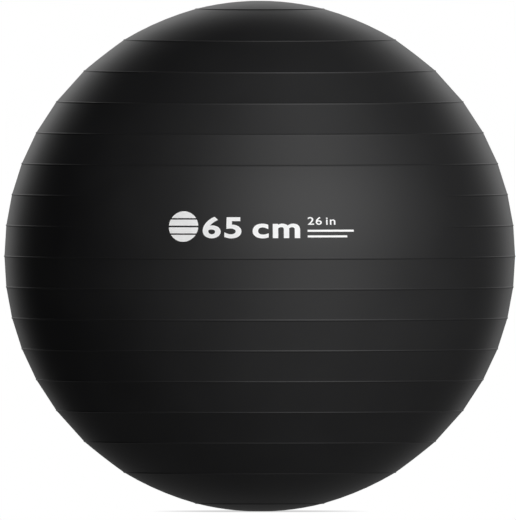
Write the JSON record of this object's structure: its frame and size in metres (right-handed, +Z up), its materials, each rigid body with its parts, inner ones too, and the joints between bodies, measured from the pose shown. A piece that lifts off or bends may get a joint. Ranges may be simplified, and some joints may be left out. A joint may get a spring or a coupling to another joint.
{
  "type": "exercise ball",
  "caption": "Large inflated exercise ball with raised horizontal grip rings, banded satin skin, a recessed valve with a pull-out stopper at the top pole and a small printed size mark.",
  "frame": {"origin": "centre of the flat patch that the ball rests on, on the floor", "axes": "+Z up through both poles and the valve; -Y is the front, where the size mark is printed; +X is to the right seen from the front"},
  "size_m": [0.65, 0.65, 0.6481],
  "materials": {
    "skin_vinyl": "satin",
    "valve_vinyl": "satin",
    "plug_plastic": "satin",
    "print_ink": "satin"
  },
  "bodies": {
    "ball": {"ball_skin": "skin_vinyl", "valve_body": "valve_vinyl"},
    "plug": {"valve_plug": "plug_plastic"}
  },
  "joints": [
    {"name": "plug_pull", "type": "slide", "parent": "ball", "child": "plug", "axis": [0, 0, 1], "range_m": [0, 0.03]}
  ]
}
